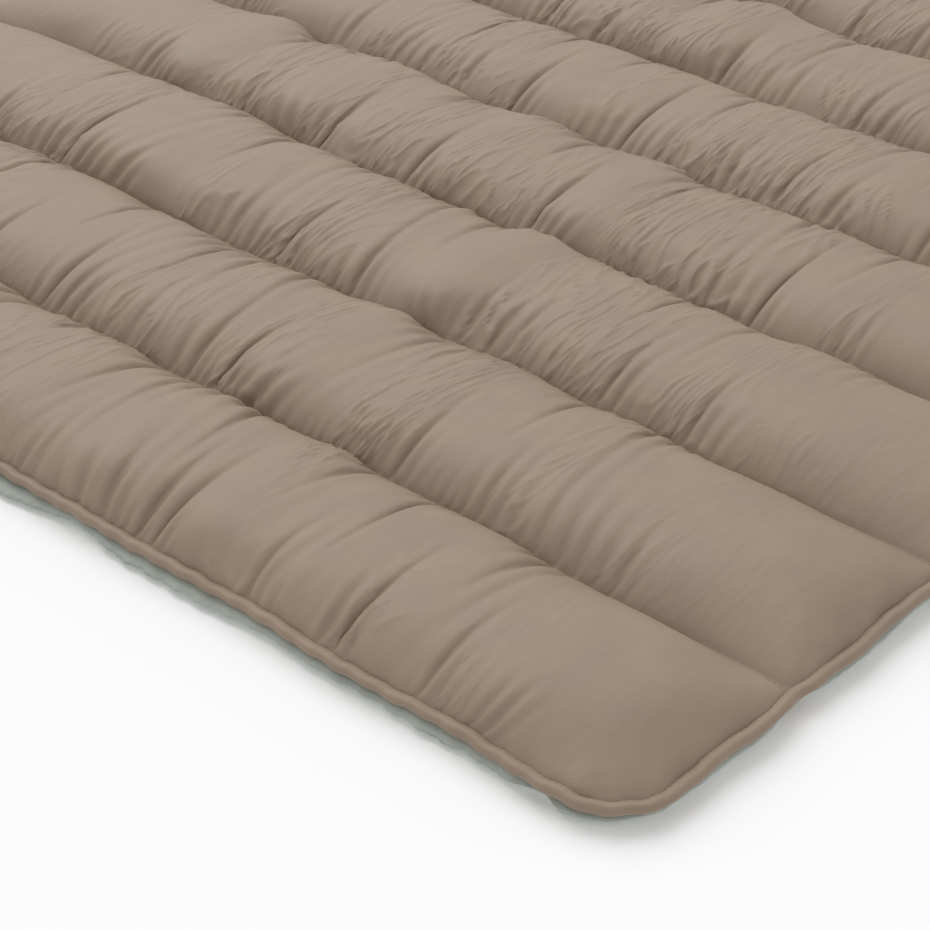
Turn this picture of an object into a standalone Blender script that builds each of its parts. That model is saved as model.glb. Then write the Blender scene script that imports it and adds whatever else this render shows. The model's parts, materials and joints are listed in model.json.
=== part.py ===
"""Camp quilt, lying flat: ten sewn-through channels that hinge on nine quilting seams.

Metres, +Z up. The channels run along X and lie side by side along Y. The quilt rests on Z = 0 and
is centred on the origin. Each channel is one rigid body of five or six pieces: a shell panel on top,
a lining panel underneath, the insulation between them, the edge binding at its two ends and, on the
body nearer the middle, the quilting thread that lies on the hinge axis.
"""

import math

import bmesh
import bpy

# Driving dimensions
QUILT_WIDTH = 1.40
CHANNEL_PITCH = 0.19
CHANNEL_COUNT = 10
LOFT = 0.050
SEAM_HEIGHT = 0.014
CORNER_RADIUS = 0.055

# Fabric and thread
FABRIC = 0.0006
GAP = 0.0003
THREAD_RADIUS = 0.0005
BINDING_WIDTH = 0.010
BINDING_HEIGHT = 0.008

# How far the pieces keep from the edge of the quilt and from the hinge axes
PANEL_RIM = 0.0015
PILLOW_START = BINDING_WIDTH + 0.001
HINGE_CLEARANCE = 0.002
INSULATION_INSET = 0.009
INSULATION_CLEARANCE = 0.0045

# Where the pillow shape rounds over at the ends of a channel, and where the lining lifts off the floor
END_RUN = 0.090
LINING_SEAM_RUN = 0.040
LINING_EDGE_RUN = 0.018

# The channel that the others hang from
ROOT_CHANNEL = 5

QUILT_LENGTH = CHANNEL_COUNT * CHANNEL_PITCH
HALF_WIDTH = QUILT_WIDTH / 2
HALF_LENGTH = QUILT_LENGTH / 2
SHELL_RIM_HEIGHT = SEAM_HEIGHT + GAP / 2 + FABRIC
LINING_RIM_HEIGHT = SEAM_HEIGHT - GAP / 2 - FABRIC
CROWN_RISE = LOFT - SHELL_RIM_HEIGHT

# Stations from a panel's rim inwards, as parts of a run: close together where the surface is steep
SHELL_STATIONS = (0.0, 0.08, 0.28, 0.60, 1.0)
SHELL_END_STATIONS = (0.0, 0.10, 0.40, 1.0)
LINING_STATIONS = (0.0, 0.15, 0.5, 1.0)
LINING_END_STATIONS = (0.0, 0.5, 1.0)
INSULATION_STATIONS = (0.0, 0.12, 0.45, 1.0)
CORNER_STATIONS = (0.65, 1.0)
ARC_STEPS = 6

TAUPE = (0.310, 0.238, 0.180)
SAGE = (0.300, 0.340, 0.305)
WHITE = (0.80, 0.80, 0.78)
THREAD_BROWN = (0.200, 0.150, 0.112)


def clear_scene():
    for obj in list(bpy.data.objects):
        bpy.data.objects.remove(obj, do_unlink=True)


def new_collection(name):
    collection = bpy.data.collections.new(name)
    bpy.context.scene.collection.children.link(collection)
    return collection


def new_material(name, colour, roughness):
    material = bpy.data.materials.new(name)
    material.use_nodes = True
    shader = material.node_tree.nodes["Principled BSDF"]
    shader.inputs["Base Color"].default_value = (*colour, 1.0)
    shader.inputs["Roughness"].default_value = roughness
    shader.inputs["Metallic"].default_value = 0.0
    material.diffuse_color = (*colour, 1.0)
    return material


def seam_y(number):
    """The Y of a quilting seam: 1 lies between channels 1 and 2. 0 and CHANNEL_COUNT are the ends."""
    return -HALF_LENGTH + number * CHANNEL_PITCH


def hinge_of(channel):
    """The seam that a channel turns about, or None for the channel that the others hang from."""
    if channel == ROOT_CHANNEL:
        return None
    return channel if channel < ROOT_CHANNEL else channel - 1


def half_width_at(y, inset):
    """Half the quilt's width at this Y, inside an outline that lies this far within the quilt's own."""
    radius = CORNER_RADIUS - inset
    past_corner = abs(y) - (HALF_LENGTH - CORNER_RADIUS)
    if past_corner <= 0.0:
        return HALF_WIDTH - inset
    across = math.sqrt(max(radius**2 - past_corner**2, 0.0))
    return HALF_WIDTH - CORNER_RADIUS + across


def rounded(part):
    """Rises from 0 to 1 along a quarter of an oval, steep at its start and level at its end."""
    part = min(max(part, 0.0), 1.0)
    return (1.0 - (1.0 - part) ** 2) ** 0.75


def channel_span(channel, at_edge, at_seam):
    """The lowest and highest Y of a piece that keeps these distances from the quilt's end and a seam."""
    low = seam_y(channel - 1) + (at_edge if channel == 1 else at_seam)
    high = seam_y(channel) - (at_edge if channel == CHANNEL_COUNT else at_seam)
    return low, high


def shell_height(channel, x, y):
    """The shell's outer face: a pillow between the seams, rounded over at the two ends."""
    low, high = channel_span(channel, PILLOW_START, HINGE_CLEARANCE)
    across = rounded(2 * min(y - low, high - y) / (high - low))
    along = rounded((half_width_at(y, PILLOW_START) - abs(x)) / END_RUN)
    return SHELL_RIM_HEIGHT + CROWN_RISE * across * along


def lining_height(channel, x, y):
    """The lining's outer face: flat on the floor, and lifted to the seams and the bound edge."""
    low, high = channel_span(channel, PILLOW_START, HINGE_CLEARANCE)
    low_run = LINING_EDGE_RUN if channel == 1 else LINING_SEAM_RUN
    high_run = LINING_EDGE_RUN if channel == CHANNEL_COUNT else LINING_SEAM_RUN
    from_ends = (half_width_at(y, PILLOW_START) - abs(x)) / LINING_EDGE_RUN
    part = min((y - low) / low_run, (high - y) / high_run, from_ends)
    return LINING_RIM_HEIGHT * (1.0 - rounded(part))


def new_grid(columns, rows, place):
    """A mesh grid whose vertex in this column and row is where place(column, row) says."""
    mesh_builder = bmesh.new()
    bmesh.ops.create_grid(mesh_builder, x_segments=columns - 1, y_segments=rows - 1, size=1.0)
    for vertex in mesh_builder.verts:
        column = round((vertex.co.x + 1.0) / 2.0 * (columns - 1))
        row = round((vertex.co.y + 1.0) / 2.0 * (rows - 1))
        vertex.co = place(column, row)
    bmesh.ops.remove_doubles(mesh_builder, verts=mesh_builder.verts, dist=0.0001)
    return mesh_builder


def finish_piece(name, mesh_builder, origin, material, collection):
    """Makes the object, with its origin on its joint's axis, and shades it smooth."""
    mesh = bpy.data.meshes.new(name)
    for vertex in mesh_builder.verts:
        vertex.co.y -= origin[1]
        vertex.co.z -= origin[2]
    mesh_builder.to_mesh(mesh)
    mesh_builder.free()
    mesh.shade_smooth()
    mesh.set_sharp_from_angle(angle=math.radians(60.0))
    mesh.materials.append(material)
    piece = bpy.data.objects.new(name, mesh)
    piece.location = origin
    collection.objects.link(piece)
    return piece


def thicken(piece, offset):
    """Turns an open sheet into cloth: offset -1 adds the thickness below the sheet, and 1 above it."""
    solidify = piece.modifiers.new("cloth_thickness", "SOLIDIFY")
    solidify.thickness = FABRIC
    solidify.offset = offset
    solidify.use_even_offset = True


def origin_of(channel):
    """A point on the axis that the channel turns about. The root channel takes its own middle."""
    seam = hinge_of(channel)
    if seam is None:
        return (0.0, seam_y(channel) - CHANNEL_PITCH / 2, SEAM_HEIGHT)
    return (0.0, seam_y(seam), SEAM_HEIGHT)


def corner_rows(channel):
    """Y stations that carry the round corners of the first and the last channel."""
    if channel not in (1, CHANNEL_COUNT):
        return set()
    end = -1.0 if channel == 1 else 1.0
    return {round(end * (HALF_LENGTH - CORNER_RADIUS * part), 6) for part in CORNER_STATIONS}


def rows_between(channel, low, high, low_run, high_run, stations):
    """Y stations from both sides of a channel, towards its middle."""
    rows = {round(low + low_run * part, 6) for part in stations}
    rows |= {round(high - high_run * part, 6) for part in stations}
    return sorted(rows | corner_rows(channel))


def add_panel(name, channel, rows, end_run, end_stations, height, offset, material, collection):
    """A fabric panel: a flat rim that the binding grips, then columns over the end run of the pillow."""
    edge_low, edge_high = channel_span(channel, PANEL_RIM, HINGE_CLEARANCE)
    rows = sorted({*rows, round(edge_low, 6), round(edge_high, 6)})
    one_side = len(end_stations) + 1

    def place(column, row):
        y = rows[row]
        side = -1.0 if column < one_side else 1.0
        step = column if column < one_side else 2 * one_side - 1 - column
        if step == 0:
            x = half_width_at(y, PANEL_RIM)
        else:
            x = half_width_at(y, PILLOW_START) - end_run * end_stations[step - 1]
        return (side * x, y, height(channel, x, y))

    grid = new_grid(2 * one_side, len(rows), place)
    piece = finish_piece(name, grid, origin_of(channel), material, collection)
    thicken(piece, offset)


def add_shell_panel(channel, material, collection):
    low, high = channel_span(channel, PILLOW_START, HINGE_CLEARANCE)
    half = (high - low) / 2
    rows = rows_between(channel, low, high, half, half, SHELL_STATIONS)
    name = f"shell_panel_{channel:02d}"
    add_panel(name, channel, rows, END_RUN, SHELL_END_STATIONS, shell_height, -1, material, collection)


def add_lining_panel(channel, material, collection):
    low, high = channel_span(channel, PILLOW_START, HINGE_CLEARANCE)
    low_run = LINING_EDGE_RUN if channel == 1 else LINING_SEAM_RUN
    high_run = LINING_EDGE_RUN if channel == CHANNEL_COUNT else LINING_SEAM_RUN
    rows = rows_between(channel, low, high, low_run, high_run, LINING_STATIONS)
    name = f"lining_panel_{channel:02d}"
    run = LINING_EDGE_RUN
    add_panel(name, channel, rows, run, LINING_END_STATIONS, lining_height, 1, material, collection)


def add_insulation(channel, material, collection):
    """The batt between the two panels: a grid drawn up into a closed pad, clear of both fabrics."""
    inset = PILLOW_START + INSULATION_INSET
    low, high = channel_span(channel, inset, HINGE_CLEARANCE + INSULATION_INSET)
    half = (high - low) / 2
    rows = rows_between(channel, low, high, half, half, INSULATION_STATIONS)
    one_side = len(INSULATION_STATIONS)

    def place(column, row):
        y = rows[row]
        side = -1.0 if column < one_side else 1.0
        step = column if column < one_side else 2 * one_side - 1 - column
        x = half_width_at(y, inset) - END_RUN * INSULATION_STATIONS[step]
        return (side * x, y, 0.0)

    pad = new_grid(2 * one_side, len(rows), place)
    lower = list(pad.verts)
    drawn = bmesh.ops.extrude_face_region(pad, geom=list(pad.faces))
    upper = [item for item in drawn["geom"] if isinstance(item, bmesh.types.BMVert)]
    for vertex in lower:
        x, y, _ = vertex.co
        vertex.co.z = lining_height(channel, abs(x), y) + INSULATION_CLEARANCE
    for vertex in upper:
        x, y, _ = vertex.co
        vertex.co.z = shell_height(channel, abs(x), y) - INSULATION_CLEARANCE
    bmesh.ops.recalc_face_normals(pad, faces=pad.faces)
    name = f"insulation_{channel:02d}"
    finish_piece(name, pad, origin_of(channel), material, collection)


def binding_profile():
    """(outwards, up) points of the folded tape, from its top lip round the edge to its bottom lip."""
    lip = GAP / 2 + FABRIC + GAP + FABRIC
    radius = BINDING_HEIGHT / 2
    points = [(-BINDING_WIDTH, lip)]
    for step in range(ARC_STEPS + 1):
        angle = math.pi / 2 - math.pi * step / ARC_STEPS
        points.append((radius * math.cos(angle) - radius, radius * math.sin(angle)))
    points.append((-BINDING_WIDTH, -lip))
    return points


def add_binding(name, channel, path, offset, material, collection):
    """Folded tape swept along a path of (x, y, outward x, outward y) stations on the quilt's outline.

    The offset is -1 where the path keeps the quilt on its left, and 1 where it keeps it on its right.
    """
    profile = binding_profile()

    def place(column, row):
        outwards, up = profile[column]
        x, y, outward_x, outward_y = path[row]
        return (x + outwards * outward_x, y + outwards * outward_y, SEAM_HEIGHT + up)

    grid = new_grid(len(profile), len(path), place)
    piece = finish_piece(name, grid, origin_of(channel), material, collection)
    thicken(piece, offset)


def end_binding_path(channel):
    """Up one side, round both corners and back: the outline of the first or the last channel."""
    end = -1.0 if channel == 1 else 1.0
    open_y = end * (HALF_LENGTH - CHANNEL_PITCH + HINGE_CLEARANCE)
    corner_x = HALF_WIDTH - CORNER_RADIUS
    corner_y = end * (HALF_LENGTH - CORNER_RADIUS)
    half_path = [(HALF_WIDTH, open_y, 1.0, 0.0)]
    for step in range(ARC_STEPS + 1):
        angle = math.pi / 2 * step / ARC_STEPS
        outward = (math.cos(angle), end * math.sin(angle))
        x = corner_x + CORNER_RADIUS * outward[0]
        y = corner_y + CORNER_RADIUS * outward[1]
        half_path.append((x, y, *outward))
    mirrored = [(-x, y, -outward_x, outward_y) for x, y, outward_x, outward_y in half_path]
    return half_path + mirrored[::-1]


def side_binding_path(channel, side):
    low, high = channel_span(channel, HINGE_CLEARANCE, HINGE_CLEARANCE)
    return [(side * HALF_WIDTH, y, side, 0.0) for y in (low, high)]


def add_thread(seam, material, collection):
    """The quilting thread, along the axis of its seam's hinge."""
    thread = bmesh.new()
    bmesh.ops.create_cone(
        thread,
        cap_ends=True,
        segments=8,
        radius1=THREAD_RADIUS,
        radius2=THREAD_RADIUS,
        depth=QUILT_WIDTH - 2 * BINDING_WIDTH,
    )
    for vertex in thread.verts:
        x, y, z = vertex.co
        vertex.co = (z, y + seam_y(seam), SEAM_HEIGHT - x)
    name = f"quilting_thread_{seam:02d}"
    origin = (0.0, seam_y(seam), SEAM_HEIGHT)
    finish_piece(name, thread, origin, material, collection)


def build_quilt():
    clear_scene()
    quilt = new_collection("camp_quilt")
    shell = new_material("shell_taffeta", TAUPE, 0.62)
    lining = new_material("lining_taffeta", SAGE, 0.62)
    batting = new_material("insulation_batting", WHITE, 0.95)
    binding = new_material("edge_binding", TAUPE, 0.65)
    thread = new_material("quilting_thread", THREAD_BROWN, 0.70)

    for channel in range(1, CHANNEL_COUNT + 1):
        add_shell_panel(channel, shell, quilt)
        add_lining_panel(channel, lining, quilt)
        add_insulation(channel, batting, quilt)
        if channel in (1, CHANNEL_COUNT):
            end, offset = ("near", 1) if channel == 1 else ("far", -1)
            path = end_binding_path(channel)
            add_binding(f"binding_{end}_end", channel, path, offset, binding, quilt)
            continue
        for side, side_name in ((-1, "left"), (1, "right")):
            path = side_binding_path(channel, side)
            add_binding(f"binding_{side_name}_{channel:02d}", channel, path, -side, binding, quilt)

    for seam in range(1, CHANNEL_COUNT):
        add_thread(seam, thread, quilt)


build_quilt()
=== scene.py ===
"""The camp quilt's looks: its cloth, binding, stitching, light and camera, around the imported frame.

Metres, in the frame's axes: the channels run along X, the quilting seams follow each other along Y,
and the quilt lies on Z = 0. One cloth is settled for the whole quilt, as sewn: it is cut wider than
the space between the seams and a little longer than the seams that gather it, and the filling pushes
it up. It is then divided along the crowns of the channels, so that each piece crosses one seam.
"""

import json
import math

import bpy
import numpy as np
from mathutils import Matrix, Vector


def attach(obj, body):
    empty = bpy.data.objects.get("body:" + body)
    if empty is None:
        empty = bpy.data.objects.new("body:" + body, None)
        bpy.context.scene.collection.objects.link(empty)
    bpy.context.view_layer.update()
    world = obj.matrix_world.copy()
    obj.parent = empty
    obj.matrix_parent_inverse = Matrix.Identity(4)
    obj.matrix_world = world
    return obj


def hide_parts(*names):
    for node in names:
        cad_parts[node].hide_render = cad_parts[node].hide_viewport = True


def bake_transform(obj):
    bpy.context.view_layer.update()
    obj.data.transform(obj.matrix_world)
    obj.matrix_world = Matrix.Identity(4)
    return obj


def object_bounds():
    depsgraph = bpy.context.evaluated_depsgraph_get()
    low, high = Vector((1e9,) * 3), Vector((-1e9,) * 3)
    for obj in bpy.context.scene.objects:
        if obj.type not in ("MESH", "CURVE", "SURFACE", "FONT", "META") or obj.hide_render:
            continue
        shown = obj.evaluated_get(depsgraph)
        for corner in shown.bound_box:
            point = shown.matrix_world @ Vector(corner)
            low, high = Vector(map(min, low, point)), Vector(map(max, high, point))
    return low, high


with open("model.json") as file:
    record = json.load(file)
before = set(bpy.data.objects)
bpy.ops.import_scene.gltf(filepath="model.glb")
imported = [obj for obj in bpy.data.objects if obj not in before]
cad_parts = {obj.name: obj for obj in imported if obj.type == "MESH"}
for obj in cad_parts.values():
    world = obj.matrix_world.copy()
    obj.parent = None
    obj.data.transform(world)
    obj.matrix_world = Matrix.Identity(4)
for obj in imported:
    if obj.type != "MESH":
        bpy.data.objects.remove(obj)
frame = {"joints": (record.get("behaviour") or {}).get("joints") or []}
cad_box = [list(corner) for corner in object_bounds()]

# ---------------------------------------------------------------- places that the frame gives
HALF_WIDTH = cad_box[1][0]
HALF_LENGTH = cad_box[1][1]
JOINTS = sorted(frame["joints"], key=lambda joint: joint["pos_m"][1])
SEAM_YS = [joint["pos_m"][1] for joint in JOINTS]
SEAM_HEIGHT = JOINTS[0]["pos_m"][2]
CHANNELS = len(SEAM_YS) + 1

# ---------------------------------------------------------------- how the cloth is cut and gathered
SEED = 12
CORNER_RADIUS = 0.055  # of the quilt's outline
HEM_INSET = 0.009  # from the outline to where the two cloths end, inside the binding
COLUMNS = 441
ROWS_PER_CHANNEL = 18
FINE_ROWS = 2 * ROWS_PER_CHANNEL  # rows in a channel once the settled grid is refined
ROW_SQUEEZE = 0.7  # how far the rows crowd towards the seams
CORNER_ZONE = 0.2  # the columns give way to the rounded corners over this stretch

CROWN_EXCESS = 0.088  # the share by which the cloth is wider than the space between its seams
END_RISE = 0.15  # it grows to that from the quilt's sides, over this stretch
CLOSED_END = 0.12  # the share of it that is there at the sides themselves
CROWN_VARIATION = 0.010  # slow lumps along the crowns, which die out before the sides
LUMP_LENGTH = 0.10
LUMP_END = (0.10, 0.30)
GATHER = 0.090  # the share by which it is longer than the seams that gather it
GATHER_VARIATION = 0.55
GATHER_LENGTH = 0.03
CROWN_RELIEF = 0.5  # the share of that gather which is gone at the crowns
SMOOTH_END = (0.10, 0.38)  # the gathers die out over this stretch before the quilt's sides
SMOOTH_GATHER = 0.10  # the share of them that is left there
FEED_SHIFT = 0.030  # how far the cloth crept along one seam and not along the next
FEED_LENGTH = 0.045
FEED_END = (0.05, 0.40)
SEAM_WAVER = 0.0022  # how far a seam strays from a straight line
WAVER_LENGTH = 0.07
WAVER_END = 0.10

# ---------------------------------------------------------------- how the cloth settles
START_RISE = 0.012  # a low pillow in each channel, with a little noise for the creases to start from
START_FULLNESS = 0.7
START_NOISE = 0.0008
SETTLE_STEPS = 135
STEP_TIME = 0.01
FILLING_PUSH = 1.5
SPEED_KEPT = 0.92
LINK_PASSES = 4
BIAS_STIFFNESS = 0.20
CREASE_SOFTENING = 0.028
FILLING_GRIP = 0.0028  # a weak pull along X, so that the gathers stay where the filling holds them
CROWN_LIMIT = 0.031  # above this height over the seams the crowns are pressed flatter
CROWN_SOFTNESS = 0.004
CROWN_FLATTENING = 0.75

FINE_HEIGHT = 0.0030  # of the small creases that are too sharp for the settled grid
FINE_WIDTH = 0.0066
FINE_LENGTH_ROWS = 5
FINE_DRIFT = 0.028  # how far they slant along X
FINE_RIDGE = 0.7
FINE_SHARPNESS = 1.5
FINE_PATCH = 0.05  # they come in patches of about this size
FINE_ON_CROWN = 0.35  # the share of their height that is left on the crowns
FINE_AT_END = 0.15  # and at the quilt's sides
FINE_SEAM_GAP = 0.25  # how far up from a seam they start, as a share of the crown

# ---------------------------------------------------------------- how the sewn edge strays
WAVES = ((0.29, 0.34), (0.13, 0.25), (0.071, 0.23), (0.043, 0.18))  # lengths and shares
WAVE_TURN = 1.9  # radians from the direction of one wave to that of the next
WAVE_LEAN = 0.6  # how much they all lean to the diagonal
WAVE_OFFSET = 3.1
OUTWARD_PHASE = 0.7
UPWARD_PHASE = 2.3
PUCKER_PHASE = 1.3
EDGE_REACH = 0.030  # how far in from the edge the cloth follows it
EDGE_WAVE_OUT = 0.0038
EDGE_WAVE_UP = 0.0014
NICK_LENGTH = 0.011  # where a seam runs out it draws the edge in and down
NICK_DEPTH = 0.0035
NICK_DROP = 0.0015

# ---------------------------------------------------------------- shell, lining and batts
SHELL_RISE = 0.0005  # above the seams' hinges
LINING_DROP = 0.0012  # below them
LINING_AVERAGE = 101  # columns
LINING_RELIEF = 0.45  # how much of a crease is left where the lining lies on the floor
NEAR_FLOOR = 0.8  # it starts to count as lying there this far down, as a share of the seams' height
LINING_SMOOTH_HEM = (0.030, 0.080)  # its creases are averaged out at the two ends, up to this far in
SMOOTH_CORNER = 3.0  # but not beside the corners, out to this many corner radii
FLOOR_SOFTNESS = 0.0012  # how gently it comes down to the floor
BULGE_REACH = 0.020  # how far in the bulge beside the hem goes
BULGE_OUT = 0.0135
BULGE_MORE_AT_ENDS = 0.0055
BULGE_DEPTH = 0.6  # the share of the seams' height over which the lining swings out to it
BULGE_PUCKERS = 0.12
PUCKER_SCALE = 3.0
BATT_INSET = 6  # rows in from the seams, and twice as many columns in from the sides
BATT_STEP = (2, 3)  # rows and columns of the cloth to one of the batt
BATT_SHARE = 0.7

# ---------------------------------------------------------------- binding tape and stitches
CORNER_STEPS = 36
BINDING_STEP = 0.0025  # between stations along the tape
TAPE_WIDTH = 0.0105
TAPE_HALF = 0.0041  # half its thickness at the fold
TAPE_EDGE = 0.0018  # and at the leaves' edges
TAPE_NOSE = 0.0040
TAPE_TAPER = 1.8
TAPE_CENTRE = 0.0150  # its height above the floor
SECTION_STEPS = 7
PUCKER_LENGTH = 0.005
PUCKER_DEPTH = 0.075
PUCKER_AT_FOLD = 0.4
SWELL_LENGTH = 4.0 * PUCKER_LENGTH
SWELL_DEPTH = 0.05
STITCH_PITCH = 0.0050
STITCH_LENGTH = 0.0040
STITCH_RADIUS = 0.00028
STITCH_SIDES = 6
STITCH_RINGS = ((-0.5, 0.5, -0.9), (-0.3, 1.0, 0.0), (0.3, 1.0, 0.0), (0.5, 0.5, -0.9))
STITCH_NUDGE = 0.001  # a stitch's direction is taken from this far behind it to this far ahead
SEAM_STITCH_LIFT = 0.5 * STITCH_RADIUS
BINDING_STITCH_LIFT = 0.3 * STITCH_RADIUS

# ---------------------------------------------------------------- colours, floor, light and camera
SHELL_COLOUR = (0.290, 0.216, 0.156)
LINING_COLOUR = (0.365, 0.392, 0.354)
THREAD_COLOUR = (0.200, 0.150, 0.112)
BATTING_COLOUR = (0.85, 0.85, 0.84)
BINDING_SHADE = 0.97
THREAD_SCALE = 900.0
MOTTLE_SCALE = 19.0
MOTTLE_SHADES = ((0.30, 0.93), (0.70, 1.07))  # where in the noise, and the share of the colour there
DRAG_SCALE = 75.0
DRAG_STRETCH = (1.0, 0.30, 0.6)
CRUMPLE_SCALE = 150.0
CRINKLE = 0.5
SHEEN_GAIN = 2.2
FIBRE_SCALE = 400.0
FIBRE_SHADES = (0.85, 1.15)
FLOOR_COLOUR = (0.93, 0.93, 0.93)
FLOOR_REACH = 40.0
FLOOR_GAP = 0.0005
DOME_STRENGTH = 0.78
BACKDROP_STRENGTH = 0.97
WINDOW_LIGHT = (155.0, 45.0, 1.22, 55.0)  # azimuth, elevation, strength and spread
LAMP_DISTANCE = 3.0
CAMERA_TARGET = (0.330, -0.696, 0.012)
CAMERA_DISTANCE = 1.889
CAMERA_AZIMUTH = math.radians(42.2)
CAMERA_ELEVATION = math.radians(32.8)
CAMERA_LENS = 93.35
CAMERA_SENSOR = 36.0


def loop_noise(rng, count, cells):
    """Smooth noise round a closed loop, with this many cells to a bump. Its spread is 1."""
    window = np.hanning(2 * max(int(cells), 1) + 3)
    padded = np.zeros(count)
    padded[: len(window)] = window
    raw = rng.normal(size=count)
    smooth = np.real(np.fft.ifft(np.fft.fft(raw) * np.fft.fft(padded) ** 2))
    return (smooth - smooth.mean()) / smooth.std()


def line_noise(rng, count, cells):
    """Smooth noise along a line: part of a longer loop, so that its ends don't match."""
    longer = count + 8 * max(int(cells), 1)
    part = loop_noise(rng, longer, cells)[:count]
    return (part - part.mean()) / max(part.std(), 1e-6)


def sheet_noise(rng, rows, columns, row_cells, column_cells):
    """Smooth noise over a sheet, with this many rows and columns to a bump. Its spread is 1."""
    noise = rng.normal(size=(rows, columns))
    for axis, cells in ((0, row_cells), (1, column_cells)):
        window = np.hanning(2 * max(int(cells), 1) + 3)
        noise = np.apply_along_axis(np.convolve, axis, noise, window, "same")
    return (noise - noise.mean()) / noise.std()


def ease(value, low, high):
    """0 below low, 1 above high, and a smooth rise between them."""
    part = np.clip((value - low) / (high - low), 0.0, 1.0)
    return part * part * (3.0 - 2.0 * part)


# ---------------------------------------------------------------- the cloth's grid
def half_width_at(y, inset):
    """Half the quilt's width at this Y, inside an outline this far within the quilt's own."""
    radius = CORNER_RADIUS - inset
    past_corner = np.maximum(np.abs(y) - (HALF_LENGTH - CORNER_RADIUS), 0.0)
    across = np.sqrt(np.maximum(radius**2 - past_corner**2, 0.0))
    return HALF_WIDTH - CORNER_RADIUS + across


def row_lines():
    """The Y of each row: close together beside the seams, where the cloth bends most."""
    steps = np.linspace(0.0, 1.0, ROWS_PER_CHANNEL + 1)
    parts = ROW_SQUEEZE * (0.5 - 0.5 * np.cos(np.pi * steps)) + (1.0 - ROW_SQUEEZE) * steps
    edges = [-HALF_LENGTH + HEM_INSET, *SEAM_YS, HALF_LENGTH - HEM_INSET]
    rows = [edges[0]]
    for low, high in zip(edges[:-1], edges[1:]):
        rows.extend(low + (high - low) * parts[1:])
    return np.array(rows)


def part_of_channel(rows, rows_per_channel):
    """How far across its channel each row lies: 0 at a seam and nearly 1 just before the next."""
    return (np.arange(rows) % rows_per_channel)[:, None] / rows_per_channel


def between_seams(lines, rows, rows_per_channel):
    """Lines of values, one for each seam and for the hem at both ends, spread over the rows between."""
    lines = np.array(lines)
    row = np.arange(rows)
    channel = np.minimum(row // rows_per_channel, CHANNELS - 1)
    share = ((row - channel * rows_per_channel) / rows_per_channel)[:, None]
    return lines[channel] * (1.0 - share) + lines[channel + 1] * share


def flat_grid(rng):
    """Where the sewn cloth starts: flat, inside the hem's line, with seams that waver a little."""
    across = np.linspace(-1.0, 1.0, COLUMNS) * (HALF_WIDTH - HEM_INSET)
    x, y = np.meshgrid(across, row_lines())
    straight = HALF_WIDTH - HEM_INSET - CORNER_ZONE
    pulled_in = HALF_WIDTH - HEM_INSET - half_width_at(y, HEM_INSET)
    x -= np.sign(x) * pulled_in * np.clip((np.abs(x) - straight) / CORNER_ZONE, 0.0, 1.0)

    column_step = across[1] - across[0]
    ends = ease(HALF_WIDTH - np.abs(across), 0.0, WAVER_END)
    hem = np.zeros(COLUMNS)
    wavers = [
        SEAM_WAVER * ends * line_noise(rng, COLUMNS, WAVER_LENGTH / column_step)
        for _ in SEAM_YS
    ]
    y += between_seams([hem, *wavers, hem], len(y), ROWS_PER_CHANNEL)
    return x, y


def cut_lengths(rng, x, y):
    """How long the cloth was cut between neighbouring points: along X, along Y and on both diagonals."""
    rows, columns = x.shape
    column_step = 2.0 * (HALF_WIDTH - HEM_INSET) / (columns - 1)
    from_end = HALF_WIDTH - np.abs(x)
    gather = SMOOTH_GATHER + (1.0 - SMOOTH_GATHER) * ease(from_end, *SMOOTH_END)
    gather_noise = sheet_noise(rng, rows, columns, ROWS_PER_CHANNEL, GATHER_LENGTH / column_step)
    gather = GATHER * gather * np.maximum(1.0 + GATHER_VARIATION * gather_noise, 0.0)
    gather *= 1.0 - CROWN_RELIEF * np.sin(np.pi * part_of_channel(rows, ROWS_PER_CHANNEL)) ** 2

    feeds = [
        FEED_SHIFT * line_noise(rng, columns, FEED_LENGTH / column_step)
        for _ in range(CHANNELS + 1)
    ]
    feed = between_seams(feeds, rows, ROWS_PER_CHANNEL) * ease(from_end, *FEED_END)

    crown = CLOSED_END + (1.0 - CLOSED_END) * ease(from_end, 0.0, END_RISE)
    lumps = sheet_noise(rng, rows, columns, ROWS_PER_CHANNEL, LUMP_LENGTH / column_step)
    excess = CROWN_EXCESS * crown + CROWN_VARIATION * lumps * ease(from_end, *LUMP_END)

    along_x = np.diff(x, axis=1) * (1.0 + (gather[:, 1:] + gather[:, :-1]) / 2)
    up_y = np.diff(y, axis=0) * (1.0 + (excess[1:] + excess[:-1]) / 2)
    slant = np.diff(feed, axis=0) + np.diff(x, axis=0)
    step_x = (along_x[1:] + along_x[:-1]) / 2
    step_y = (up_y[:, 1:] + up_y[:, :-1]) / 2
    mean_slant = (slant[:, 1:] + slant[:, :-1]) / 2
    rising = np.hypot(step_x + mean_slant, step_y)
    falling = np.hypot(step_x - mean_slant, step_y)
    return along_x, np.hypot(up_y, slant), rising, falling


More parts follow.
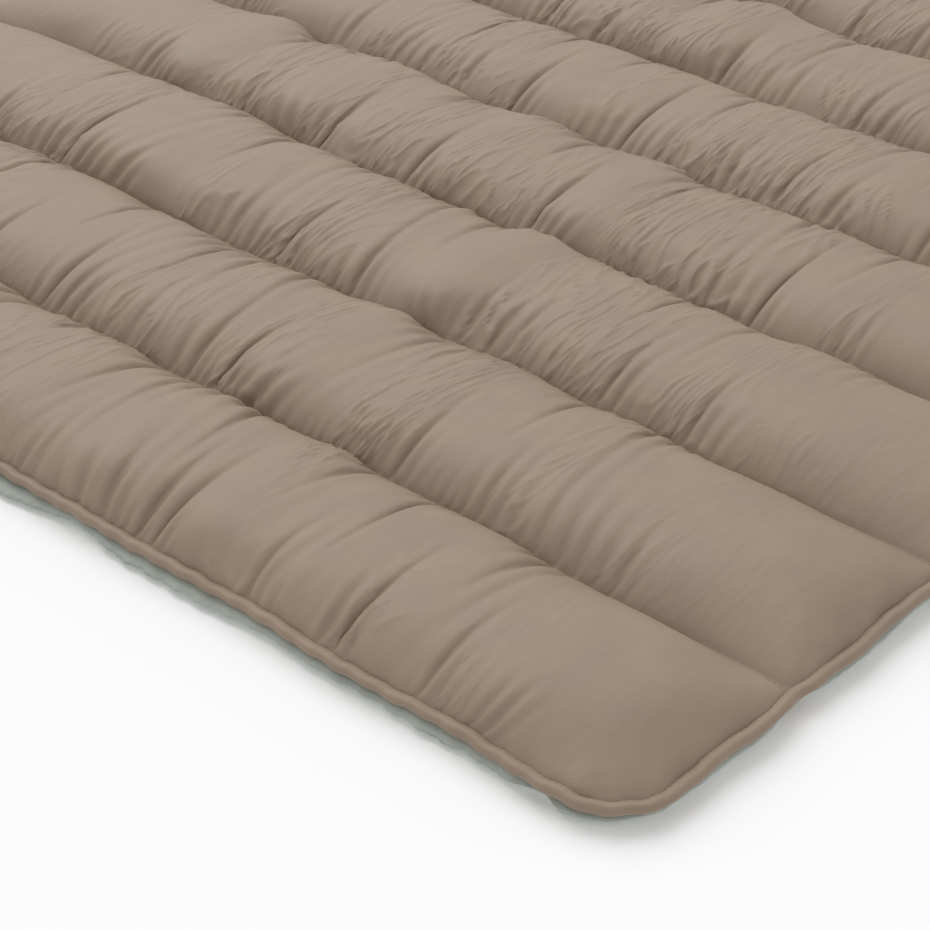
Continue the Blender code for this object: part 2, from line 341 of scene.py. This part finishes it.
def link_sets(lengths, loose):
    """The links between grid points, in sets whose links share no point, each with both ends' moves."""
    along_x, up_y, rising, falling = lengths
    rows, columns = loose.shape
    whole = slice(None)
    sets = []
    for odd in (0, 1):
        lower, upper = slice(odd, rows - 1, 2), slice(odd + 1, rows, 2)
        before, after = slice(odd, columns - 1, 2), slice(odd + 1, columns, 2)
        sets.append(((whole, before), (whole, after), along_x[:, odd::2], 1.0))
        sets.append(((lower, whole), (upper, whole), up_y[odd::2], 1.0))
        first, last = slice(0, columns - 1), slice(1, columns)
        sets.append(((lower, first), (upper, last), rising[odd::2], BIAS_STIFFNESS))
        sets.append(((lower, last), (upper, first), falling[odd::2], BIAS_STIFFNESS))
    links = []
    for start, end, length, stiffness in sets:
        total = np.maximum(loose[start] + loose[end], 1.0)
        move_start = (stiffness * loose[start] / total)[..., None].astype(np.float32)
        move_end = (stiffness * loose[end] / total)[..., None].astype(np.float32)
        links.append((start, end, length.astype(np.float32), move_start, move_end))
    return links


def settle_cloth(rng):
    """Lets the filling push the gathered cloth up until it is at rest. Heights are above the seams."""
    x, y = flat_grid(rng)
    rows, columns = x.shape
    lengths = cut_lengths(rng, x, y)
    loose = np.ones((rows, columns))
    loose[::ROWS_PER_CHANNEL] = 0.0
    loose[:, 0] = loose[:, -1] = 0.0
    links = link_sets(lengths, loose)

    pillow = np.sin(np.pi * part_of_channel(rows, ROWS_PER_CHANNEL)) ** START_FULLNESS
    rise = START_RISE * pillow + START_NOISE * rng.normal(size=(rows, columns))
    points = np.stack([x, y, rise * loose], axis=-1).astype(np.float32)
    speed = np.zeros_like(points)
    free = loose[..., None].astype(np.float32)
    start_x = points[..., 0].copy()

    for _ in range(SETTLE_STEPS):
        push = grid_normals(points) * (FILLING_PUSH * STEP_TIME)
        speed = (speed + push) * SPEED_KEPT * free
        before = points.copy()
        points += speed * STEP_TIME
        for _ in range(LINK_PASSES):
            for start, end, length, move_start, move_end in links:
                apart = points[end] - points[start]
                distance = np.sqrt(np.einsum("ijk,ijk->ij", apart, apart)) + 1e-9
                pull = ((distance - length) / distance)[..., None] * apart
                points[start] += move_start * pull
                points[end] -= move_end * pull
            points += CREASE_SOFTENING * free * unbending(points)
            points[..., 0] += FILLING_GRIP * free[..., 0] * (start_x - points[..., 0])
        speed = (points - before) / STEP_TIME
    return points.astype(np.float64)


def unbending(points):
    """The way to move each point to even out the bend along its row. The last two at each end stay."""
    sag = np.zeros_like(points)
    sag[:, 1:-1] = (points[:, 2:] + points[:, :-2]) / 2 - points[:, 1:-1]
    moves = np.zeros_like(points)
    moves[:, 2:-2] = sag[:, 2:-2] - (sag[:, 1:-3] + sag[:, 3:-1]) / 2
    return moves


def pressed_flatter(points):
    """The settled cloth with its crowns pressed down, more and more above a limit."""
    over = CROWN_SOFTNESS * np.log1p(np.exp((points[..., 2] - CROWN_LIMIT) / CROWN_SOFTNESS))
    lowered = points.copy()
    lowered[..., 2] -= CROWN_FLATTENING * over
    return lowered


def fine_creases(rng, points):
    """Sharp small creases, longest across the channel, on the settled and refined cloth."""
    rows, columns = points.shape[:2]
    x = points[..., 0]
    step = 2.0 * HALF_WIDTH / columns
    field = sheet_noise(rng, rows, columns, FINE_LENGTH_ROWS, FINE_WIDTH / step)
    drift = FINE_DRIFT * sheet_noise(rng, rows, columns, FINE_ROWS, 2.0 * FINE_DRIFT / step)
    drift = np.clip(drift, -2.0 * FINE_DRIFT, 2.0 * FINE_DRIFT)
    for row in range(rows):
        place = np.arange(columns) + drift[row] / step
        field[row] = np.interp(place, np.arange(columns), field[row])
    ridges = (1.0 - np.minimum(np.abs(field) / FINE_RIDGE, 1.0)) ** FINE_SHARPNESS
    patches = ease(sheet_noise(rng, rows, columns, FINE_ROWS, FINE_PATCH / step), -1.0, 1.0)

    crown = np.sin(np.pi * part_of_channel(rows, FINE_ROWS))
    near_seam = FINE_ON_CROWN + (1.0 - FINE_ON_CROWN) * (1.0 - crown**2)
    clear_of_stitches = ease(crown, 0.0, FINE_SEAM_GAP)
    away_from_end = FINE_AT_END + (1.0 - FINE_AT_END) * ease(HALF_WIDTH - np.abs(x), *SMOOTH_END)
    height = FINE_HEIGHT * ridges * patches * near_seam * away_from_end * clear_of_stitches
    return points + height[..., None] * grid_normals(points)


def grid_normals(points):
    """The upward unit normal at each grid point."""
    along = np.gradient(points, axis=1)
    up = np.gradient(points, axis=0)
    normals = np.cross(along, up)
    return normals / (np.linalg.norm(normals, axis=-1, keepdims=True) + 1e-12)


def refined(points):
    """The grid with a point more between each two, on smooth curves through them, both ways."""
    for axis in (0, 1):
        points = np.moveaxis(points, axis, 0)
        padded = np.concatenate([2 * points[:1] - points[1:2], points, 2 * points[-1:] - points[-2:-1]])
        middles = (9.0 * (padded[1:-2] + padded[2:-1]) - padded[:-3] - padded[3:]) / 16.0
        finer = np.empty((2 * len(points) - 1, *points.shape[1:]))
        finer[::2] = points
        finer[1::2] = middles
        points = np.moveaxis(finer, 0, axis)
    return points


# ---------------------------------------------------------------- the quilt's outline
def outline_inset(x, y):
    """How far inside the quilt's rounded outline a place is, and the outward direction there."""
    past_x = np.abs(x) - (HALF_WIDTH - CORNER_RADIUS)
    past_y = np.abs(y) - (HALF_LENGTH - CORNER_RADIUS)
    beyond_x, beyond_y = np.maximum(past_x, 0.0), np.maximum(past_y, 0.0)
    reach = np.hypot(beyond_x, beyond_y)
    inset = CORNER_RADIUS - reach - np.minimum(np.maximum(past_x, past_y), 0.0)
    in_corner = reach > 1e-6
    out_x = np.where(in_corner, beyond_x / np.maximum(reach, 1e-6), past_x > past_y)
    out_y = np.where(in_corner, beyond_y / np.maximum(reach, 1e-6), past_x <= past_y)
    return inset, np.sign(x) * out_x, np.sign(y) * out_y


def slow_wave(x, y, phase):
    """An irregular wave over the quilt, between about -1 and 1."""
    total = np.zeros_like(x)
    for number, (length, share) in enumerate(WAVES):
        turned = phase + WAVE_TURN * number
        place = x * math.cos(turned) + y * math.sin(turned) + WAVE_LEAN * (x + y)
        total += share * np.sin(2.0 * math.pi * place / length + WAVE_OFFSET * phase + number)
    return total


def edge_shift(x, y):
    """How the sewn edge strays from its outline: outwards and upwards, with a nick at each seam's end."""
    inset, out_x, out_y = outline_inset(x, y)
    nick = np.zeros_like(x)
    for seam_y in SEAM_YS:
        nick += np.exp(-(((y - seam_y) / NICK_LENGTH) ** 2))
    nick *= np.abs(out_x)
    reach = np.exp(-((np.maximum(inset, 0.0) / EDGE_REACH) ** 2))
    outward = reach * (EDGE_WAVE_OUT * slow_wave(x, y, OUTWARD_PHASE) - NICK_DEPTH * nick)
    upward = reach * (EDGE_WAVE_UP * slow_wave(x, y, UPWARD_PHASE) - NICK_DROP * nick)
    return outward * out_x, outward * out_y, upward


def strayed(points):
    """Points moved with the sewn edge. What lies on the floor isn't lifted or lowered."""
    shift_x, shift_y, upward = edge_shift(points[..., 0], points[..., 1])
    lifted = np.clip(points[..., 2] / (SEAM_HEIGHT / 2), 0.0, 1.0)
    return points + np.stack([shift_x, shift_y, upward * lifted], axis=-1)


# ---------------------------------------------------------------- meshes and the seams they cross
def new_piece(name, points, faces, material):
    """A smooth mesh of these points and faces, in the scene."""
    mesh = bpy.data.meshes.new(name)
    mesh.from_pydata(points.reshape(-1, 3).tolist(), [], faces.tolist())
    mesh.shade_smooth()
    mesh.materials.append(material)
    piece = bpy.data.objects.new(name, mesh)
    bpy.context.scene.collection.objects.link(piece)
    return piece


def grid_faces(rows, columns, upward=True, closed=False):
    """The quads of a grid of points. A closed grid's last column joins its first."""
    index = np.arange(rows * columns).reshape(rows, columns)
    if closed:
        index = np.concatenate([index, index[:, :1]], axis=1)
    faces = np.stack([index[:-1, :-1], index[:-1, 1:], index[1:, 1:], index[1:, :-1]], axis=-1)
    faces = faces.reshape(-1, 4)
    return faces if upward else faces[:, ::-1]


def bend_at(piece):
    """Bakes the piece's transform into its mesh."""
    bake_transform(piece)


def seam_rows(seam):
    """The rows of the piece that crosses a seam: crown to crown, and out to the hem at the ends."""
    first = 0 if seam == 1 else seam * FINE_ROWS - FINE_ROWS // 2
    last = seam * FINE_ROWS + FINE_ROWS // 2
    if seam == CHANNELS - 1:
        last = CHANNELS * FINE_ROWS
    return slice(first, last + 1)


def nodes_across(stem, seam):
    """The CAD nodes of this kind that the piece across a seam stands for."""
    nodes = [f"{stem}_{seam:02d}"]
    if seam == CHANNELS - 1:
        nodes.append(f"{stem}_{CHANNELS:02d}")
    return nodes


# ---------------------------------------------------------------- materials
def new_material(name):
    """A material with its nodes, its links and its own shader."""
    material = bpy.data.materials.new(name)
    material.use_nodes = True
    nodes, links = material.node_tree.nodes, material.node_tree.links
    return material, nodes, links, nodes["Principled BSDF"]


def add_noise(nodes, links, place, scale, detail, stretch=(1.0, 1.0, 1.0)):
    """The value of a noise over the cloth, stretched along the axes whose share is below 1."""
    mapping = nodes.new("ShaderNodeMapping")
    mapping.inputs["Scale"].default_value = stretch
    links.new(place, mapping.inputs["Vector"])
    noise = nodes.new("ShaderNodeTexNoise")
    noise.inputs["Scale"].default_value = scale
    noise.inputs["Detail"].default_value = detail
    links.new(mapping.outputs["Vector"], noise.inputs["Vector"])
    return noise.outputs["Fac"]


def add_bump(nodes, links, height, strength, distance, below=None):
    """A bump of this strength and height in metres, on top of the one below."""
    bump = nodes.new("ShaderNodeBump")
    bump.inputs["Strength"].default_value = strength
    bump.inputs["Distance"].default_value = distance
    links.new(height, bump.inputs["Height"])
    if below is not None:
        links.new(below, bump.inputs["Normal"])
    return bump.outputs["Normal"]


def taffeta(name, colour):
    """Plain-woven taffeta: fine threads, faint mottling, and small creases that the drape leaves out."""
    material, nodes, links, shader = new_material(name)
    place = nodes.new("ShaderNodeTexCoord").outputs["Object"]

    mottle = add_noise(nodes, links, place, MOTTLE_SCALE, detail=6.0)
    ramp = nodes.new("ShaderNodeValToRGB")
    for element, (position, share) in zip(ramp.color_ramp.elements, MOTTLE_SHADES):
        element.position = position
        element.color = (*[share * channel for channel in colour], 1.0)
    links.new(mottle, ramp.inputs["Fac"])
    links.new(ramp.outputs["Color"], shader.inputs["Base Color"])

    rough = nodes.new("ShaderNodeMapRange")
    rough.inputs["To Min"].default_value = 0.44
    rough.inputs["To Max"].default_value = 0.60
    links.new(mottle, rough.inputs["Value"])
    links.new(rough.outputs["Result"], shader.inputs["Roughness"])
    shader.inputs["Specular IOR Level"].default_value = 0.30
    shader.inputs["Sheen Weight"].default_value = 0.08
    shader.inputs["Sheen Roughness"].default_value = 0.50
    tint = [min(SHEEN_GAIN * channel, 1.0) for channel in colour]
    shader.inputs["Sheen Tint"].default_value = (*tint, 1.0)

    threads = []
    for direction in ("X", "Y"):
        wave = nodes.new("ShaderNodeTexWave")
        wave.bands_direction = direction
        wave.inputs["Scale"].default_value = THREAD_SCALE
        links.new(place, wave.inputs["Vector"])
        threads.append(wave.outputs["Fac"])
    weave = nodes.new("ShaderNodeMath")
    weave.operation = "MULTIPLY"
    links.new(threads[0], weave.inputs[0])
    links.new(threads[1], weave.inputs[1])
    bumps = add_bump(nodes, links, weave.outputs[0], strength=0.15, distance=0.00008)

    drag = add_noise(nodes, links, place, DRAG_SCALE, detail=3.0, stretch=DRAG_STRETCH)
    bumps = add_bump(nodes, links, drag, strength=CRINKLE, distance=0.0014, below=bumps)
    crumple = add_noise(nodes, links, place, CRUMPLE_SCALE, detail=2.0)
    bumps = add_bump(nodes, links, crumple, strength=CRINKLE / 2, distance=0.0005, below=bumps)
    links.new(bumps, shader.inputs["Normal"])
    return material


def plain(name, colour, roughness):
    """Thread or batting: a fibre finish with a faint change of colour."""
    material, nodes, links, shader = new_material(name)
    place = nodes.new("ShaderNodeTexCoord").outputs["Object"]
    fibres = add_noise(nodes, links, place, FIBRE_SCALE, detail=4.0)
    ramp = nodes.new("ShaderNodeValToRGB")
    for element, share in zip(ramp.color_ramp.elements, FIBRE_SHADES):
        element.color = (*[min(share * channel, 1.0) for channel in colour], 1.0)
    links.new(fibres, ramp.inputs["Fac"])
    links.new(ramp.outputs["Color"], shader.inputs["Base Color"])
    shader.inputs["Roughness"].default_value = roughness
    bumps = add_bump(nodes, links, fibres, strength=0.6, distance=0.0003)
    links.new(bumps, shader.inputs["Normal"])
    return material


shell_cloth = taffeta("shell_taffeta", SHELL_COLOUR)
lining_cloth = taffeta("lining_taffeta", LINING_COLOUR)
binding_cloth = taffeta("binding_taffeta", tuple(BINDING_SHADE * channel for channel in SHELL_COLOUR))
thread_fibre = plain("sewing_thread", THREAD_COLOUR, 0.6)
batt_fibre = plain("batting_fibre", BATTING_COLOUR, 0.95)


# ---------------------------------------------------------------- the shell, the lining and the batts
def add_cloth(stem, node_stem, points, material, upward):
    """One cloth of the quilt, in pieces that each cross a seam. They share the whole cloth's shading."""
    normals = grid_normals(points) if upward else -grid_normals(points)
    columns = points.shape[1]
    for seam in range(1, CHANNELS):
        rows = seam_rows(seam)
        faces = grid_faces(len(points[rows]), columns, upward)
        piece = new_piece(f"{stem}_across_seam_{seam:02d}", points[rows], faces, material)
        piece.data.normals_split_custom_set_from_vertices(normals[rows].reshape(-1, 3).tolist())
        bend_at(piece)
        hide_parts(*nodes_across(node_stem, seam))


def lining_points(shell, settled_cloth):
    """The same cloth turned over and round: it hangs below the seams and lies on the floor."""
    turned = settled_cloth[::-1, ::-1]
    x, y, drop = -turned[..., 0], -turned[..., 1], turned[..., 2]

    sewn_rows = FINE_ROWS * np.arange(CHANNELS + 1)
    y += between_seams(shell[sewn_rows, :, 1] - y[sewn_rows], len(y), FINE_ROWS)

    window = np.hanning(LINING_AVERAGE)
    window /= window.sum()
    mean_y, mean_drop = (
        np.apply_along_axis(np.convolve, 1, values, window, "same") for values in (y, drop)
    )
    along_end = ease(HALF_WIDTH - np.abs(x), CORNER_RADIUS, SMOOTH_CORNER * CORNER_RADIUS)
    smoothed = along_end * (1.0 - ease(HALF_LENGTH - np.abs(y), *LINING_SMOOTH_HEM))
    y = y + smoothed * (mean_y - y)
    drop = drop + smoothed * (mean_drop - drop)

    height = SEAM_HEIGHT - LINING_DROP - drop
    height = FLOOR_SOFTNESS * np.log1p(np.exp(height / FLOOR_SOFTNESS))
    on_floor = np.clip(drop / SEAM_HEIGHT - NEAR_FLOOR, 0.0, 1.0)
    height += LINING_RELIEF * on_floor * np.maximum(mean_drop - drop, 0.0)

    inset, out_x, out_y = outline_inset(x, y)
    near_hem = np.exp(-(((inset - HEM_INSET) / BULGE_REACH) ** 2))
    hanging = ease(np.clip(drop / SEAM_HEIGHT, 0.0, 1.0), 0.0, BULGE_DEPTH)
    puckers = 1.0 + BULGE_PUCKERS * slow_wave(PUCKER_SCALE * x, PUCKER_SCALE * y, PUCKER_PHASE)
    bulge = near_hem * puckers * hanging * (BULGE_OUT + BULGE_MORE_AT_ENDS * np.abs(out_y))
    return np.stack([x + bulge * out_x, y + bulge * out_y, height], axis=-1)


def add_batt(channel, top, bottom):
    """The loose batt inside one channel: a closed pad, a little thinner than the space that it fills."""
    first = FINE_ROWS * (channel - 1) + BATT_INSET
    last = FINE_ROWS * channel - BATT_INSET
    rows = slice(first, last + 1, BATT_STEP[0])
    columns = slice(2 * BATT_INSET, -2 * BATT_INSET, BATT_STEP[1])
    layers = []
    for cloth in (top, bottom):
        layer = cloth[rows, columns].copy()
        layer[..., 2] = SEAM_HEIGHT + BATT_SHARE * (layer[..., 2] - SEAM_HEIGHT)
        layers.append(layer)
    down, across = layers[0].shape[:2]
    count = down * across
    index = np.arange(count).reshape(down, across)
    rim = np.concatenate([index[0], index[1:, -1], index[-1, -2::-1], index[-2:0:-1, 0]])
    after = np.roll(rim, -1)
    sides = np.stack([rim, rim + count, after + count, after], axis=-1)
    faces = np.concatenate([
        grid_faces(down, across),
        grid_faces(down, across, upward=False) + count,
        sides,
    ])
    piece = new_piece(f"batt_{channel:02d}", np.concatenate(layers), faces, batt_fibre)
    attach(piece, f"channel_{channel:02d}")
    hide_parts(f"insulation_{channel:02d}")


# ---------------------------------------------------------------- the binding
def outline_path():
    """Points and outward directions right round the outline, from the middle of the far end, +X first."""
    corners = []
    for sign_x, sign_y, start in ((1, 1, 90), (1, -1, 0), (-1, -1, -90), (-1, 1, -180)):
        centre = np.array([
            sign_x * (HALF_WIDTH - CORNER_RADIUS),
            sign_y * (HALF_LENGTH - CORNER_RADIUS),
        ])
        angles = np.radians(np.linspace(start, start - 90, CORNER_STEPS))
        out = np.stack([np.cos(angles), np.sin(angles)], axis=-1)
        corners.append((centre + CORNER_RADIUS * out, out))
    points, outs = [], []
    for number, (arc, out) in enumerate(corners):
        following = corners[(number + 1) % len(corners)][0][0]
        run = following - arc[-1]
        steps = int(np.hypot(*run) / BINDING_STEP)
        shares = np.arange(1, steps)[:, None] / steps
        points.append(np.concatenate([arc, arc[-1] + shares * run]))
        outs.append(np.concatenate([out, np.repeat(out[-1:], steps - 1, axis=0)]))
    points, outs = np.concatenate(points), np.concatenate(outs)
    middle = np.argmin(np.abs(points[:, 0]) + np.abs(points[:, 1] - HALF_LENGTH))
    return np.roll(points, -middle, axis=0), np.roll(outs, -middle, axis=0)


def tape_section():
    """The folded tape's section: how far in from its fold, and how high, from the top leaf's edge round."""
    round_part = np.radians(np.linspace(0.0, 90.0, SECTION_STEPS))
    inward = TAPE_NOSE * (1.0 - np.cos(round_part))
    height = TAPE_HALF * np.sin(round_part)
    flat = np.linspace(0.0, 1.0, SECTION_STEPS)[1:]
    inward = np.concatenate([inward, TAPE_NOSE + flat * (TAPE_WIDTH - TAPE_NOSE)])
    height = np.concatenate([height, TAPE_HALF - (TAPE_HALF - TAPE_EDGE) * flat**TAPE_TAPER])
    inward = np.concatenate([inward[::-1], inward[1:]])
    height = np.concatenate([height[::-1], -height[1:]])
    return inward, height


def tape_points(rng):
    """The whole tape's points: stations along the outline by points of the section."""
    points, outs = outline_path()
    inward, height = tape_section()
    stations = len(points)
    fine = loop_noise(rng, stations, PUCKER_LENGTH / BINDING_STEP)
    coarse = loop_noise(rng, stations, SWELL_LENGTH / BINDING_STEP)
    pucker = PUCKER_AT_FOLD + (inward / TAPE_WIDTH) ** 2
    swell = 1.0 + SWELL_DEPTH * coarse[:, None] + PUCKER_DEPTH * fine[:, None] * pucker
    place = points[:, None, :] - inward[None, :, None] * outs[:, None, :]
    high = TAPE_CENTRE + height[None, :] * swell
    grid = np.concatenate([place, high[..., None]], axis=-1)
    shift_x, shift_y, upward = edge_shift(points[:, 0], points[:, 1])
    return grid + np.stack([shift_x, shift_y, upward], axis=-1)[:, None, :]


def add_tape_length(name, nodes, length):
    """One length of the tape with its row of stitches, top and bottom, one point in from the edges."""
    faces = grid_faces(*length.shape[:2], upward=False, closed=True)
    piece = new_piece(f"binding_{name}", length, faces, binding_cloth)
    bend_at(piece)
    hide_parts(*nodes)

    lines = [
        stitches_along(length[:, beside_edge], upright, BINDING_STITCH_LIFT)
        for beside_edge, upright in ((1, 1.0), (-2, -1.0))
    ]
    sewn = add_stitches(f"binding_stitches_{name}", lines)
    bend_at(sewn)


def add_binding(rng):
    """The tape right round the quilt: a length round each end, and one across each seam between them."""
    grid = tape_points(rng)
    count = len(grid)
    x, y = grid[:, 0, 0], grid[:, 0, 1]
    crowns = [(low + high) / 2 for low, high in zip(SEAM_YS[:-1], SEAM_YS[1:])]
    ends = {
        side: [int(np.argmin(np.abs(y - crown) + (sign * x < 0))) for crown in crowns]
        for side, sign in (("left", -1), ("right", 1))
    }

    def add_length(name, nodes, start, end):
        stations = (start + np.arange((end - start) % count + 1)) % count
        add_tape_length(name, nodes, grid[stations])

    add_length("near_end", ["binding_near_end"], ends["right"][0], ends["left"][0])
    add_length("far_end", ["binding_far_end"], ends["left"][-1], ends["right"][-1])
    for side in ("left", "right"):
        for seam in range(2, CHANNELS - 1):
            nodes = [f"binding_{side}_{seam:02d}"]
            if seam == CHANNELS - 2:
                nodes.append(f"binding_{side}_{seam + 1:02d}")
            start, end = ends[side][seam - 2 : seam]
            if side == "right":
                start, end = end, start
            add_length(f"{side}_seam_{seam:02d}", nodes, start, end)


# ---------------------------------------------------------------- stitches
def stitches_along(line, upright, lift):
    """The middle, direction and upward direction of each stitch on a line of points, lifted off it.

    Upright is 1 on top of the quilt and -1 under it.
    """
    line = line + np.array([0.0, 0.0, upright * lift])
    runs = np.linalg.norm(np.diff(line, axis=0), axis=1)
    along = np.concatenate([[0.0], np.cumsum(runs)])
    places = np.arange(STITCH_PITCH / 2, along[-1], STITCH_PITCH)
    behind, middle, ahead = (
        np.stack([np.interp(places + nudge, along, line[:, axis]) for axis in range(3)], axis=-1)
        for nudge in (-STITCH_NUDGE, 0.0, STITCH_NUDGE)
    )
    direction = ahead - behind
    direction /= np.linalg.norm(direction, axis=1, keepdims=True) + 1e-12
    return middle, direction, np.tile([0.0, 0.0, upright], (len(places), 1))


def add_stitches(name, lines):
    """A mesh of short lengths of thread that dip into the cloth at both ends.

    A ring of the thread has its place in stitch lengths, and its size and rise in thread radii.
    """
    middle, direction, up = (np.concatenate(part) for part in zip(*lines))
    side = np.cross(direction, up)
    angles = 2.0 * math.pi * np.arange(STITCH_SIDES) / STITCH_SIDES
    rings = []
    for place, size, rise in STITCH_RINGS:
        centre = middle + place * STITCH_LENGTH * direction + rise * STITCH_RADIUS * up
        for angle in angles:
            reach = size * STITCH_RADIUS * (math.cos(angle) * side + math.sin(angle) * up)
            rings.append(centre + reach)
    points = np.stack(rings, axis=1)
    one = grid_faces(len(STITCH_RINGS), STITCH_SIDES, closed=True)
    faces = one[None] + (np.arange(len(middle)) * points.shape[1])[:, None, None]
    return new_piece(name, points, faces.reshape(-1, 4), thread_fibre)


def add_quilting(top, bottom):
    """The seams' own stitches, through both cloths."""
    for seam in range(1, CHANNELS):
        lines = [
            stitches_along(cloth[FINE_ROWS * seam], upright, SEAM_STITCH_LIFT)
            for cloth, upright in ((top, 1.0), (bottom, -1.0))
        ]
        piece = add_stitches(f"quilting_stitches_{seam:02d}", lines)
        bend_at(piece)
        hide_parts(f"quilting_thread_{seam:02d}")


# ---------------------------------------------------------------- floor, light and camera
def point_at(obj, target):
    """Turns a light or camera, which looks along its own -Z, towards a place."""
    offset = [goal - start for goal, start in zip(target, obj.location)]
    flat = math.hypot(offset[0], offset[1])
    obj.rotation_euler = (math.atan2(flat, -offset[2]), 0.0, math.atan2(-offset[0], offset[1]))


def add_floor():
    """A pale floor, just under the quilt. It is clear from below and to light, so that the lining shows."""
    corners = np.array([(-1, -1), (1, -1), (1, 1), (-1, 1)]) * FLOOR_REACH
    points = np.column_stack([corners, np.full(4, -FLOOR_GAP)])
    material, nodes, links, shader = new_material("floor_white")
    shader.inputs["Base Color"].default_value = (*FLOOR_COLOUR, 1.0)
    shader.inputs["Roughness"].default_value = 0.9
    shader.inputs["Specular IOR Level"].default_value = 0.1
    seen = nodes.new("ShaderNodeMath")
    seen.operation = "SUBTRACT"
    seen.use_clamp = True
    links.new(nodes.new("ShaderNodeLightPath").outputs["Is Camera Ray"], seen.inputs[0])
    links.new(nodes.new("ShaderNodeNewGeometry").outputs["Backfacing"], seen.inputs[1])
    clear = nodes.new("ShaderNodeBsdfTransparent")
    mix = nodes.new("ShaderNodeMixShader")
    links.new(seen.outputs["Value"], mix.inputs["Fac"])
    links.new(clear.outputs["BSDF"], mix.inputs[1])
    links.new(shader.outputs["BSDF"], mix.inputs[2])
    links.new(mix.outputs["Shader"], nodes["Material Output"].inputs["Surface"])
    new_piece("floor", points, np.array([[0, 1, 2, 3]]), material)


def add_sun(name, azimuth, elevation, strength, spread):
    """A soft sun that shines from this direction: azimuth from +X towards +Y, both in degrees."""
    data = bpy.data.lights.new(name, "SUN")
    data.energy = strength
    data.angle = math.radians(spread)
    lamp = bpy.data.objects.new(name, data)
    bpy.context.scene.collection.objects.link(lamp)
    flat = math.cos(math.radians(elevation))
    lamp.location = (
        LAMP_DISTANCE * flat * math.cos(math.radians(azimuth)),
        LAMP_DISTANCE * flat * math.sin(math.radians(azimuth)),
        LAMP_DISTANCE * math.sin(math.radians(elevation)),
    )
    point_at(lamp, (0.0, 0.0, 0.0))


def add_studio():
    """A white dome that lights the quilt evenly and looks as bright as the floor, and one soft window."""
    world = bpy.data.worlds.new("studio")
    world.use_nodes = True
    nodes, links = world.node_tree.nodes, world.node_tree.links
    background = nodes["Background"]
    background.inputs["Color"].default_value = (1.0, 1.0, 1.0, 1.0)
    strength = nodes.new("ShaderNodeMapRange")
    strength.inputs["To Min"].default_value = DOME_STRENGTH
    strength.inputs["To Max"].default_value = BACKDROP_STRENGTH
    links.new(nodes.new("ShaderNodeLightPath").outputs["Is Camera Ray"], strength.inputs["Value"])
    links.new(strength.outputs["Result"], background.inputs["Strength"])
    bpy.context.scene.world = world
    bpy.context.scene.view_settings.view_transform = "Standard"
    add_sun("soft_window", *WINDOW_LIGHT)


def add_camera():
    """The camera, turned from -Y towards +X round the place that it looks at, and raised above it."""
    data = bpy.data.cameras.new("camera")
    data.lens = CAMERA_LENS
    data.sensor_width = CAMERA_SENSOR
    camera = bpy.data.objects.new("camera", data)
    bpy.context.scene.collection.objects.link(camera)
    flat = CAMERA_DISTANCE * math.cos(CAMERA_ELEVATION)
    camera.location = (
        CAMERA_TARGET[0] + flat * math.sin(CAMERA_AZIMUTH),
        CAMERA_TARGET[1] - flat * math.cos(CAMERA_AZIMUTH),
        CAMERA_TARGET[2] + CAMERA_DISTANCE * math.sin(CAMERA_ELEVATION),
    )
    point_at(camera, CAMERA_TARGET)
    bpy.context.scene.camera = camera


# ---------------------------------------------------------------- the whole scene
rng = np.random.default_rng(SEED)
settled = fine_creases(rng, refined(pressed_flatter(settle_cloth(rng))))
shell_cloth_points = settled + np.array([0.0, 0.0, SEAM_HEIGHT + SHELL_RISE])
lining_cloth_points = strayed(lining_points(shell_cloth_points, settled))
shell_cloth_points = strayed(shell_cloth_points)
add_cloth("shell", "shell_panel", shell_cloth_points, shell_cloth, upward=True)
add_cloth("lining", "lining_panel", lining_cloth_points, lining_cloth, upward=False)
for channel in range(1, CHANNELS + 1):
    add_batt(channel, shell_cloth_points, lining_cloth_points)
add_binding(rng)
add_quilting(shell_cloth_points, lining_cloth_points)

add_floor()
add_studio()
add_camera()
